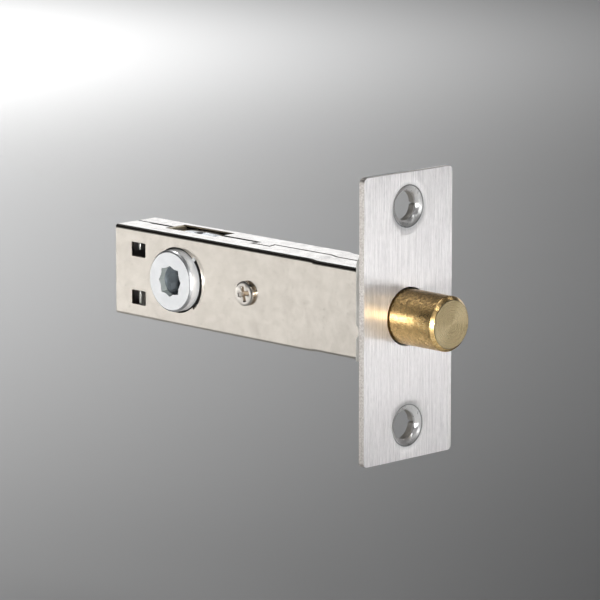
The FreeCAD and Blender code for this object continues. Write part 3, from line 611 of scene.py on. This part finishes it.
def brass_finish(name):
    """Turned brass: drag marks and brown handling marks on the bar, heavier toward its top as painted
    shade; fine rings and a painted fan-shaped sheen on its tip.
    """
    finish, tree, shader, place = new_finish(name)
    marks = use_group(tree, mottle, place, Patch=1700.0, Speck=3800.0)
    x, y, z = split(tree, place)
    tip = above(tree, x, TIP_FACE * MM)
    ring_place = put(tree, "ShaderNodeCombineXYZ", X=product(tree, reach_of(tree, y, z), 9000.0))
    rings = noise(tree, ring_place.outputs[0], 1.0, 2.0, 0.6)
    drags = noise(tree, stretched(tree, place, (1500.0, 4500.0, 4500.0)), 1.0, 4.0, 0.6)
    mixed = maths(tree, "ADD", product(tree, marks["Patches"], 0.6), product(tree, drags, 0.4))
    bar = two_tones(tree, mixed, 0.42, 0.60, (0.96, 0.665, 0.29), (0.66, 0.445, 0.185))
    # handling marks, with painted shade that darkens the bar toward its top
    stain_and_shade = product(tree, spread(tree, z, 0.0, 1.0, STAIN_SHADE_START * MM, STAIN_SHADE_END * MM),
                    spread(tree, marks["Patches"], 0.25, 0.9, 0.42, 0.6))
    bar = blend_colours(tree, stain_and_shade, bar, (0.30, 0.20, 0.095), 0.85)
    bar = blend_colours(tree, marks["Specks"], bar, (0.17, 0.11, 0.06), 0.6)
    # painted highlight: a fan-shaped sheen by the angle round the tip's axis
    twice_round = product(tree, maths(tree, "ARCTAN2", z, y), 2.0)
    wave = maths(tree, "SINE", maths(tree, "ADD", twice_round, 0.5))
    painted_sheen_fan = product(tree, spread(tree, wave, 0.0, 1.0, 0.2, 1.0), 0.7)
    rings_and_painted_sheen = maths(tree, "ADD", painted_sheen_fan, spread(tree, rings, 0.0, 0.45, 0.35, 0.65))
    face = blend_colours(tree, rings_and_painted_sheen, (0.27, 0.215, 0.12), (0.41, 0.34, 0.205))
    bar_rough = product(tree, spread(tree, mixed, 0.24, 0.36, 0.4, 0.62), spread(tree, tip, 1.0, 0.0))
    tip_rough = product(tree, spread(tree, rings, 0.22, 0.32, 0.3, 0.7), tip)
    fill(tree, shader, Base_Color=blend_colours(tree, tip, bar, face, 0.96),
         Roughness=maths(tree, "ADD", bar_rough, tip_rough), Metallic=1.0)
    bar_height = product(tree, drags, maths(tree, "SUBTRACT", 1.0, tip), 0.10)
    add_bump(tree, shader, maths(tree, "ADD", product(tree, rings, 0.25, tip), bar_height), 1.0, 0.02)
    return finish


# Reaches from the hub's axis, and distances from the lock's middle plane, where the tones change; deep in
# the hole and at the flange's root they are painted shade
STAR_REACH, FLANGE_SHADE_REACH, FLANGE_EDGE_REACH, ROOT_SHADE_REACH = 4.1, 5.0, 5.7, 5.9
MOUTH_START, EDGE_START = -FLANGE_FACE - 0.05, -FLANGE_FACE - 0.015
FLANGE_SHADE_START, DEEP_SHADE_START, ROOT_SHADE_START = 7.3, 6.5, 5.5


def hub_finish(name):
    """White matt plated casting; the walls of its star hole are duller, with painted shade deep in the hole
    and in the gap at the flange's root, where no light falls.
    """
    finish, tree, shader, place = new_finish(name)
    marks = use_group(tree, mottle, place, Patch=420.0, Speck=3200.0)
    x, y, z = split(tree, place)
    reach = reach_of(tree, maths(tree, "SUBTRACT", x, HUB_X * MM), z)
    depth = maths(tree, "ABSOLUTE", y)
    hole = below(tree, reach, STAR_REACH * MM)
    mouth = product(tree, hole, below(tree, depth, MOUTH_START * MM))
    deep = product(tree, hole, below(tree, depth, DEEP_SHADE_START * MM))
    root_shade = product(tree, above(tree, reach, ROOT_SHADE_REACH * MM), below(tree, depth, ROOT_SHADE_START * MM))
    side = product(tree, above(tree, reach, FLANGE_SHADE_REACH * MM),
                   below(tree, depth, FLANGE_SHADE_START * MM))
    edge = product(tree, above(tree, reach, FLANGE_EDGE_REACH * MM), below(tree, depth, EDGE_START * MM))
    colour = two_tones(tree, marks["Patches"], 0.35, 0.65, (0.97, 0.975, 0.98), (0.90, 0.91, 0.92))
    colour = blend_colours(tree, marks["Specks"], colour, (0.50, 0.51, 0.52), 0.25)
    # painted shade: deep in the star hole and at the flange's root
    colour = lay_over(tree, colour, (mouth, (0.62, 0.67, 0.65)), (deep, (0.26, 0.29, 0.31)),
                      (root_shade, (0.03, 0.03, 0.03)))
    coarse = product(tree, either(tree, edge, mouth), 0.2)
    rough = maths(tree, "ADD", spread(tree, marks["Patches"], 0.12, 0.18, 0.3, 0.7), coarse)
    fill(tree, shader, Base_Color=colour, Roughness=rough,
         Metallic=spread(tree, either(tree, side, mouth), 1.0, 0.3))
    add_bump(tree, shader, marks["Grain"], 0.3, 0.01)
    return finish


# The recess begins below the head's face and within its reach, and its painted shade fills a narrower strip
RECESS_START = HEAD_TOP + 0.14
RECESS_REACH, RECESS_SHADE_REACH = 2.05, 0.72


def screw_finish(name):
    """Bright nickel, duller in the recess, with painted shade in the recess and a painted brown reflection
    on the head's side below its groove.
    """
    finish, tree, shader, place = new_finish(name)
    marks = use_group(tree, mottle, place, Patch=600.0, Speck=2200.0)
    x, y, z = split(tree, place)
    offset = maths(tree, "SUBTRACT", x, SCREW_X * MM)
    recess = product(tree, above(tree, y, RECESS_START * MM),
                     below(tree, reach_of(tree, offset, z), RECESS_REACH * MM))
    recess_shade = product(tree, recess, below(tree, maths(tree, "ABSOLUTE", offset), RECESS_SHADE_REACH * MM))
    colour = two_tones(tree, marks["Patches"], 0.35, 0.65, (0.98, 0.925, 0.85), (0.93, 0.87, 0.79))
    # painted shade: brown in the recess's narrow strip
    colour = blend_colours(tree, recess_shade, colour, (0.40, 0.30, 0.20), 0.85)
    # painted reflection: the case's beige on the head's side between its groove and the case
    colour = blend_colours(tree, above(tree, y, HEAD_GROOVE * MM), colour, (0.66, 0.50, 0.33), 0.6)
    fill(tree, shader, Base_Color=colour, Roughness=spread(tree, marks["Patches"], 0.08, 0.14, 0.3, 0.7),
         Metallic=spread(tree, recess, 1.0, 0.65))
    add_bump(tree, shader, marks["Grain"], 0.2, 0.01)
    return finish


brushed_stainless = brushed_finish("brushed_stainless_steel")
# The metal finishes paint shade, their unlit tone, inside the case and behind the plates, except the
# spring's, whose reach is nought; the inner plate's wide reach lays it over all of that plate behind the
# shelter's front
satin_nickel = metal_finish("satin_nickel_plate", (0.93, 0.865, 0.775), (0.85, 0.785, 0.70), (0.15, 0.22),
                            patch=420.0, speck=1500.0, bump=0.3, details=shell_details)
plated_steel = metal_finish("zinc_plated_steel", (0.78, 0.78, 0.74), (0.52, 0.52, 0.48), (0.30, 0.46),
                            unlit=(0.55, 0.52, 0.49))
inner_steel = metal_finish("tarnished_inner_plate", (0.74, 0.72, 0.68), (0.50, 0.48, 0.45), (0.35, 0.5),
                           metallic=0.6, unlit=(0.40, 0.38, 0.35), inner=(40, 40))
cast_zinc = metal_finish("cast_zinc_collar", (0.98, 0.96, 0.90), (0.82, 0.80, 0.74), (0.40, 0.55),
                         metallic=0.35)
hub_zinc = hub_finish("nickel_plated_zinc")
bright_nickel = screw_finish("bright_nickel")
spring_steel = metal_finish("bright_spring_steel", (0.86, 0.86, 0.86), (0.60, 0.60, 0.60), (0.10, 0.22),
                            patch=900.0, inner=(0, 0), details=spring_details)
brass = brass_finish("turned_brass")

CAD_FINISHES = {
    "brushed_stainless": brushed_stainless,
    "nickel_plated_steel": satin_nickel,
    "plated_steel": plated_steel,
    "bright_nickel": bright_nickel,
    "die_cast_zinc": cast_zinc,
    "brass": brass,
    "spring_steel": spring_steel,
}


def dress_cad_nodes():
    """Every CAD node gets the finish of its material slot."""
    for name, node in nodes.items():
        for holder in node.material_slots:
            holder.link = "OBJECT"
            holder.material = CAD_FINISHES[node_slots[name]]


# Faceplate

PLATE_CORNER = 0.9
BOWL_STATIONS = ((-2, 2.95), (-1.0, 2.95), (-0.86, 3.08), (-0.55, 3.48), (-0.3, 3.84), (-0.13, 4.16),
                 (-0.1, 4.24), (-0.065, 4.6), (-0.03, 5.05), (0.0, 5.6), (0.4, 5.6))


def on_plate_side(middle, normal):
    """Whether a face is one of the faceplate's sheared side walls."""
    near_side = abs(middle.y) > (PLATE_HALF_WIDTH - 0.25) * MM
    near_end = abs(middle.z) > (PLATE_HALF_HEIGHT - 0.5) * MM
    return abs(normal.x) < 0.25 and (near_side or near_end)


def make_faceplate():
    """Stamped plate with rounded corners, chamfered edges, dished countersinks and the bolt's hole."""
    plate = block("face_plate", (PLATE_BACK, -PLATE_HALF_WIDTH, -PLATE_HALF_HEIGHT),
                  (0, PLATE_HALF_WIDTH, PLATE_HALF_HEIGHT))
    open_edit(plate, "EDGE")
    pick_edges(plate, lambda a, b: abs(a.x - b.x) > MM)
    bpy.ops.mesh.bevel(offset=PLATE_CORNER * MM, segments=6)
    close_edit()
    cut(plate, lathe("bore", "X", (0, 0, 0), [(-2, BORE_RADIUS), (1, BORE_RADIUS)], sides=128))
    for height in (SCREW_HOLE_HEIGHT, -SCREW_HOLE_HEIGHT):
        cut(plate, lathe("sink", "X", (0, 0, height), BOWL_STATIONS))
    soften(plate, 0.2, 1, 50)
    mark_faces(plate, "side_wall", on_plate_side)
    finish_piece(plate, "case", brushed_stainless, "faceplate")


# Bolt

SLOT_HALF_WIDTH = 1.03
BAR_STATIONS = ((-17, 4.7), (-16.7, 5.0), (-0.6, 5.0), (-0.6, 5.3), (0.1, 5.3), (0.1, 5.5), (10.82, 5.5),
                (10.92, 5.48), (10.98, 5.44), (11.61, 4.86), (11.68, 4.77), (BOLT_TIP, 4.68),
                (BOLT_TIP, 0.2))


def make_bolt():
    """Turned bar: a bevelled tip, a neck in the faceplate and a slotted shank for the tail plate."""
    bar = lathe("bolt_bar_turned", "X", (0, 0, 0), BAR_STATIONS, sides=128)
    cut(bar, block("slot", (-18, -SLOT_HALF_WIDTH, -6), (-8, SLOT_HALF_WIDTH, 6)))
    finish_piece(bar, "bolt", brass, "bolt_bar")


# Case screw

WING_LENGTH, WING_WIDTH, RECESS_DEPTH = 3.9, 1.0, 0.8
SCREW_STATIONS = ((1.5, 1.2), (1.2, 1.48), (HEAD_SEAT, 1.48), (HEAD_SEAT, 2.42), (-5.84, 2.50),
                  (-6.05, 2.52), (-6.08, 2.46), (-6.10, 2.40), (-6.16, 2.40), (-6.19, 2.48),
                  (-6.23, 2.52), (-6.42, 2.52), (-6.54, 2.46), (-6.61, 2.32), (HEAD_TOP, 2.1),
                  (HEAD_TOP, 0.8))


def recess_wing(turn):
    """One bar of the cross recess, narrower and shorter at its floor."""
    floor = HEAD_TOP + RECESS_DEPTH
    wing = block("wing", (SCREW_X - WING_LENGTH / 2, HEAD_TOP - 0.3, -WING_WIDTH / 2),
                 (SCREW_X + WING_LENGTH / 2, floor, WING_WIDTH / 2))
    open_edit(wing)
    pick_faces(wing, lambda normal: normal.y > 0.9)
    resize((0.42, 1, 0.55), Vector((SCREW_X, floor, 0)) * MM)
    close_edit()
    axis = Matrix.Translation(Vector((SCREW_X, 0, 0)) * MM)
    wing.matrix_world = axis @ Matrix.Rotation(turn, 4, "Y") @ axis.inverted()
    apply_place(wing)
    return wing


def make_case_screw():
    """Pan head with a fine groove round it and a tapered cross recess, on a plain shank."""
    screw = lathe("clamp_screw", "Y", (SCREW_X, 0, 0), SCREW_STATIONS, sides=64)
    for turn in (0, math.pi / 2):
        cut(screw, recess_wing(SCREW_TURN + turn))
    soften(screw, 0.07, 2, 40)
    finish_piece(screw, "case", bright_nickel, "case_screw")


# Case shells

TOP_SHEET = 8.9
SEAM_NEAR, SEAM_FAR = -0.9, 2.2
TAB_NEAR, TAB_FAR = -3, -0.3
TAB_REAR, TAB_FRONT = -47, -33
SHEET_INSIDE, OPENINGS_REACH = 8.2, 4.6
SHELL_HOLE_RADIUS = 6.76
SHELL_EDGE = 0.14
SEAM_EDGES = {"case_near_shell": 0.5, "case_far_shell": 0.03}
LIP_RUNS = ((-74.0, -67.9, 0.58), (-52.8, -42.2, 0.58), (-41.4, -38.4, -0.67))
LIP_WIDE, LIP_DEEP = 0.9, 0.36
# Sheared walls lie in the slot past the first, and along the seam short of the others
SLOT_FROM_Y, SEAM_TO_Y, SEAM_TO_X = 3.3, 2.3, -36


def on_seam(a, b):
    """Whether an edge belongs to the seam in the case's top face, or to the dovetail tab in it."""
    if min(a.z, b.z) < TOP_SHEET * MM:
        return False
    nearest, farthest = min(a.y, b.y), max(a.y, b.y)
    on_line = nearest > SEAM_NEAR * MM and farthest < SEAM_FAR * MM
    beside_tab = min(a.x, b.x) >= TAB_REAR * MM and max(a.x, b.x) <= TAB_FRONT * MM
    return on_line or (beside_tab and TAB_NEAR * MM < nearest < TAB_FAR * MM)


def lip_wedge(rear, front, seam):
    """A wedge to take off the top of the near lip, which is rolled down to the seam."""
    wedge = block("wedge", (rear, seam - LIP_WIDE, CASE_TOP_REAR - LIP_DEEP),
                  (front, seam + 0.02, CASE_TOP_REAR + 0.3))
    open_edit(wedge, "EDGE")
    pick_edges(wedge, lambda a, b: max(a.y, b.y) < (seam - 0.5) * MM and max(a.z, b.z) < CASE_TOP_REAR * MM)
    bpy.ops.transform.translate(value=(0, 0, LIP_DEEP * MM))
    close_edit()
    return wedge


def is_cut_wall(middle, normal):
    """Whether a face is one of the sheared walls of the top or bottom sheet."""
    in_sheet = abs(middle.z) > SHEET_INSIDE * MM and abs(middle.y) < OPENINGS_REACH * MM
    return in_sheet and abs(normal.z) < 0.55


def is_slot_wall(middle, normal):
    """Whether a sheared wall lies in the slot over the spring."""
    return is_cut_wall(middle, normal) and abs(middle.y) > SLOT_FROM_Y * MM


def is_seam_wall(middle, normal):
    """Whether a sheared wall runs along the seam, from the rear to just past the tab."""
    along_seam = abs(middle.y) < SEAM_TO_Y * MM and abs(normal.y) > 0.5
    return is_cut_wall(middle, normal) and along_seam and middle.x < SEAM_TO_X * MM


def make_shells():
    """Two equal stampings; the near one's lip is rolled down along the top seam."""
    for node, name, side in (("case_near_shell", "near_shell_folded", -1),
                             ("case_far_shell", "far_shell_folded", 1)):
        shell = copy_of(node, name)
        cut(shell, lathe("hub_hole", "Y", (HUB_X, 0, 0), [(side * 4.5, SHELL_HOLE_RADIUS),
                                                          (side * 6.5, SHELL_HOLE_RADIUS)]))
        round_edges(shell, on_seam, SEAM_EDGES[node], 3)
        round_edges(shell, lambda a, b: not on_seam(a, b), SHELL_EDGE, 3)
        if node == "case_near_shell":
            cut(shell, *[lip_wedge(*run) for run in LIP_RUNS])
        for mark, wanted in (("cut_wall", is_cut_wall), ("slot_wall", is_slot_wall),
                             ("seam_wall", is_seam_wall)):
            mark_faces(shell, mark, wanted)
        finish_piece(shell, "case", satin_nickel, node)


# Hub

STAR_CORNERS = 16
# Corners by their count round the star, with their reach at its mouth and at its floor
STAR_POINTS = (((2,), 3.5, 3.08), ((0,), 3.22, 3.05), ((1, 3), 2.84, 3.0))
FLANGE_STATIONS = ((FLANGE_ROOT, 6.2), (FLANGE_ROOT - 0.1, 6.375), (-7.36, 6.375), (-7.62, 6.2),
                   (-7.76, 6.05), (FLANGE_FACE, 5.88))
FLANGE_CLEAR = 6.6
GROOVE_RADIUS, GROOVE_END = 3.9, -4.8


def move_corners(star, level, kinds, share):
    """Scale one kind of the star's corners at a level along Y, about the hub's axis."""
    middle = Vector((HUB_X, level, 0)) * MM

    def is_wanted(vertex):
        turn = math.degrees(math.atan2(vertex.co.z, vertex.co.x - HUB_X * MM))
        at_level = abs(vertex.co.y - middle.y) < 0.01 * MM
        return at_level and round(turn * STAR_CORNERS / 360) % 4 in kinds

    open_edit(star, "VERT")
    pick(star, "verts", is_wanted)
    resize((share, 1, share), middle)
    close_edit()


def star_cutter(front, back):
    """The star mouth: four deep and four shallow points that run out into a round hole."""
    star = disc("star", "Y", Vector((HUB_X, front, 0)) * MM, MM, STAR_CORNERS)
    for kinds, mouth_reach, _ in STAR_POINTS:
        move_corners(star, front, kinds, mouth_reach)
    open_edit(star, start="SELECT")
    extrude((0, (back - front) * MM, 0))
    close_edit()
    for kinds, mouth_reach, floor_reach in STAR_POINTS:
        move_corners(star, back, kinds, floor_reach / mouth_reach)
    turn_outwards(star)
    return star


def make_near_hub():
    """Cast half with a turned flange; its star mouth opens into a groove before the hub's own star hole."""
    half = copy_of("hub_near_half", "near_hub_cast")
    waste_end = FLANGE_ROOT - 0.05
    cut(half, lathe("front_waste", "Y", (HUB_X, 0, 0), [(-9, FLANGE_CLEAR), (waste_end, FLANGE_CLEAR)]))
    soften(half, 0.09, 2, 30)
    flange = lathe("flange", "Y", (HUB_X, 0, 0), FLANGE_STATIONS, sides=128)
    mouth_end = FLANGE_FACE + MOUTH_DEPTH
    cut(flange, star_cutter(FLANGE_FACE - 0.2, mouth_end + 0.01),
        lathe("groove", "Y", (HUB_X, 0, 0), [(mouth_end, GROOVE_RADIUS), (GROOVE_END, GROOVE_RADIUS)]))
    round_edges(flange, lambda a, b: max(a.y, b.y) < (FLANGE_FACE + 0.2) * MM, 0.06)
    join(half, flange)
    finish_piece(half, "hub", hub_zinc, "hub_near_half")


# Pieces that only need their edges rounded

def make_softened_pieces():
    """The hub's far half, the collar, the inner plate and the rear bracket, each by its own round."""
    for node, name, body, finish, width, segments, angle in (
            ("hub_far_half", "far_hub_cast", "hub", hub_zinc, 0.09, 2, 30),
            ("forend_collar", "collar_cast", "case", cast_zinc, 0.12, 2, 35),
            ("inner_forend", "inner_plate_stamped", "case", inner_steel, 0.1, 2, 40),
            ("end_bracket", "rear_bracket_bent", "case", plated_steel, 0.16, 3, 40)):
        piece = copy_of(node, name)
        soften(piece, width, segments, angle)
        finish_piece(piece, body, finish, node)


# Leaf spring

LEAF_THICK = 0.5
LEAF_NEAR, LEAF_FAR = -1.5, 3.5
LEAF_START = (-69.7, 8.10)
LEAF_LINE = ((-69.3, 8.10), (-67.2, 8.12), (-65.6, 8.26), (-63.8, 8.36), (-60.4, 8.40), (-57.0, 8.36),
             (-55.2, 8.26), (-53.6, 8.12), (-51.4, 8.10))
BEAD_STATIONS = ((8.6, 0.78), (8.82, 0.76), (8.96, 0.68), (9.06, 0.54), (9.12, 0.36), (9.14, 0.12))
CURL_TOP = (-67.0, 0.2, 9.45)


def make_leaf():
    """A strip drawn out along the bowed line."""
    rear, low = LEAF_LINE[0]
    leaf = block("leaf_spring_pressed", (LEAF_START[0], LEAF_NEAR, LEAF_START[1]),
                 (rear, LEAF_FAR, low + LEAF_THICK))
    open_edit(leaf)
    pick_faces(leaf, lambda normal: normal.x > 0.9)
    for (start, before), (end, after) in zip(LEAF_LINE, LEAF_LINE[1:]):
        extrude(((end - start) * MM, 0, (after - before) * MM))
    close_edit()
    return leaf


def make_curl():
    """The strip's end that stands up in the slot, narrower and leaning forward at its top."""
    curl = block("curl", (-67.65, LEAF_NEAR, 8.2), (-66.7, 3.3, 8.95))
    open_edit(curl)
    pick_faces(curl, lambda normal: normal.z > 0.9)
    extrude((0.2 * MM, 0, 0.5 * MM))
    resize((0.7, 0.75, 1), Vector(CURL_TOP) * MM)
    close_edit()
    return curl


def make_spring():
    """Bowed leaf with a domed bead and a rear end that is curled up through the slot."""
    leaf, curl = make_leaf(), make_curl()
    bead = lathe("bead", "Z", (BEAD_X, BEAD_Y, 0), BEAD_STATIONS, sides=48)
    soften(leaf, 0.08, 2, 40)
    soften(curl, 0.12, 3, 30)
    join(leaf, curl, bead)
    finish_piece(leaf, "case", spring_steel, "detent_spring")


# Stage and light

FLOOR_DROP = 60 * MM
FLOOR_SIZE = 12.0
# Soft boxes and small lamps: name, place, size, power, spread in degrees, and aim where it isn't down
LAMPS = (
    ("far_left_backdrop_box", (-953, 576, 284), (200, 200), 2.15, 131.5, None),
    ("high_left_backdrop_box", (-863, -144, 1265), (300, 300), 7.9, 66.1, None),
    ("left_front_box", (-328, -330, 300), (280, 250), 0.184, 70, None),
    ("right_front_box", (385, 385, 340), (480, 480), 2.15, 40, None),
    ("camera_side_box", (330, -330, 300), (280, 280), 1.1, 60, None),
    ("low_right_box", (100, -20, 120), (160, 220), 0.14, 30, None),
    ("high_front_box", (-150, -400, 680), (100, 100), 0.006, 40, (-60, 0, 0)),
    ("camera_side_lamp", (300, -300, 5), (60, 60), 0.026, 20, (-45, 0, 0)),
    ("high_bolt_lamp", (602, 155, 593), (110, 110), 0.0006, 10, (6, 0, 2)),
    ("bevel_lamp", (522, -211, 640), (110, 110), 0.003, 10, (11, 0, 0)),
    ("back_bevel_lamp", (150, 610, 600), (110, 110), 0.0010, 10, (11, 0, 3)),
    ("near_bolt_lamp", (602, -439, 430), (110, 110), 0.0008, 10, (6, 0, 2)),
)


def soft_light(name, place, size, power, spread_angle, aim):
    """A soft box with a grid, facing straight down or toward AIM; millimetres and degrees."""
    data = bpy.data.lights.new(name, "AREA")
    data.shape = "RECTANGLE"
    data.size, data.size_y = (side * MM for side in size)
    data.energy = power
    data.spread = math.radians(spread_angle)
    lamp = bpy.data.objects.new(name, data)
    bpy.context.scene.collection.objects.link(lamp)
    lamp.location = Vector(place) * MM
    if aim:
        lamp.rotation_euler = (Vector(aim) - Vector(place)).to_track_quat("-Z", "Y").to_euler()


def build_stage():
    """A matt grey floor a little below the lock, which fills the picture."""
    bpy.ops.object.select_all(action="DESELECT")
    bpy.ops.mesh.primitive_plane_add(size=FLOOR_SIZE, location=(0, 0, cad_box[0][2] - FLOOR_DROP))
    floor = bpy.context.object
    floor.name = "floor"
    paint = bpy.data.materials.new("floor_paint")
    paint.use_nodes = True
    tree = paint.node_tree
    fill(tree, tree.nodes["Principled BSDF"], Base_Color=(0.52, 0.52, 0.52, 1), Roughness=0.9,
         Specular_IOR_Level=0.1)
    floor.data.materials.append(paint)


def build_world():
    """A dark studio with a low bright wall behind the object."""
    world = bpy.data.worlds.new("studio")
    bpy.context.scene.world = world
    world.use_nodes = True
    tree = world.node_tree
    x, y, z = split(tree, tree.nodes.new("ShaderNodeTexCoord").outputs["Generated"])
    wall = product(tree, spread(tree, z, 1.24, 0.0, 0.23, 0.31), spread(tree, x, 1.0, 0.55, -0.2, 0.3),
                   spread(tree, y, 0.12, 1.0, 0.0, 0.45))
    bright = maths(tree, "ADD", wall, 0.01)
    colour = put(tree, "ShaderNodeCombineXYZ", X=product(tree, bright, 0.97), Y=bright,
                 Z=product(tree, bright, 1.05))
    fill(tree, tree.nodes["Background"], Color=colour.outputs[0], Strength=1.0)


place_camera()
dress_cad_nodes()
make_faceplate()
make_bolt()
make_case_screw()
make_shells()
make_near_hub()
make_softened_pieces()
make_spring()
build_stage()
build_world()
for lamp in LAMPS:
    soft_light(*lamp)

scene_view = bpy.context.scene.view_settings
scene_view.view_transform = "Standard"
